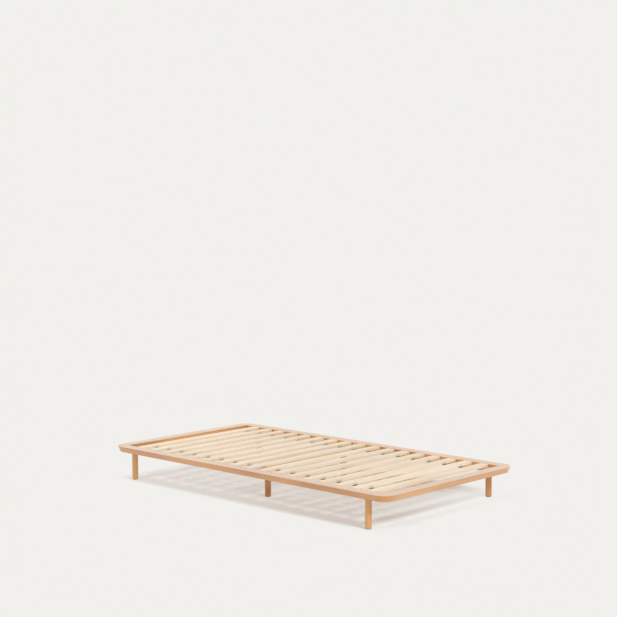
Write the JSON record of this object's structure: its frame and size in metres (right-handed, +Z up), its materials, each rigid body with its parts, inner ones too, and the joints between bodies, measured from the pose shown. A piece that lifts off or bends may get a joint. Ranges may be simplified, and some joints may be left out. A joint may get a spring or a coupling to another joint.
{
  "type": "wooden bed frame",
  "caption": "Low free-standing wooden bed frame with rounded corners, inward-sloping rail edges, spaced cross slats and short round legs.",
  "frame": {"origin": "on the floor, under the middle of the frame", "axes": "+X along the bed's length, +Y across it towards the back side rail, +Z up"},
  "size_m": [2.158, 1.14, 0.194],
  "materials": {
    "rail_wood": "light hardwood, planed and oiled, satin",
    "leg_wood": "turned light hardwood, oiled, satin",
    "slat_wood": "pale planed wood, unfinished, matt",
    "batten_wood": "planed softwood, unfinished, matt",
    "webbing": "woven dark webbing",
    "zinc_steel": "bright zinc plated",
    "felt": "pressed felt"
  },
  "bodies": {
    "root": {"beam_screws": "zinc_steel", "corner_dowels": "batten_wood", "corner_plate_back_left": "zinc_steel", "corner_plate_back_right": "zinc_steel", "corner_plate_front_left": "zinc_steel", "corner_plate_front_right": "zinc_steel", "corner_plate_screws": "zinc_steel", "cross_beam": "batten_wood", "end_rail_left": "rail_wood", "end_rail_right": "rail_wood", "foot_pad_back_left": "felt", "foot_pad_back_right": "felt", "foot_pad_front_left": "felt", "foot_pad_front_right": "felt", "foot_pad_middle_back": "felt", "foot_pad_middle_front": "felt", "ledger_back": "batten_wood", "ledger_front": "batten_wood", "ledger_screws": "zinc_steel", "leg_back_left": "leg_wood", "leg_back_right": "leg_wood", "leg_bolts": "zinc_steel", "leg_front_left": "leg_wood", "leg_front_right": "leg_wood", "leg_inserts": "zinc_steel", "leg_middle_back": "leg_wood", "leg_middle_front": "leg_wood", "side_rail_back": "rail_wood", "side_rail_front": "rail_wood", "slat_01": "slat_wood", "slat_02": "slat_wood", "slat_03": "slat_wood", "slat_04": "slat_wood", "slat_05": "slat_wood", "slat_06": "slat_wood", "slat_07": "slat_wood", "slat_08": "slat_wood", "slat_09": "slat_wood", "slat_10": "slat_wood", "slat_11": "slat_wood", "slat_12": "slat_wood", "slat_13": "slat_wood", "slat_14": "slat_wood", "slat_15": "slat_wood", "slat_16": "slat_wood", "slat_17": "slat_wood", "strap_back": "webbing", "strap_front": "webbing", "strap_staples_back": "zinc_steel", "strap_staples_front": "zinc_steel"}
  },
  "joints": []
}
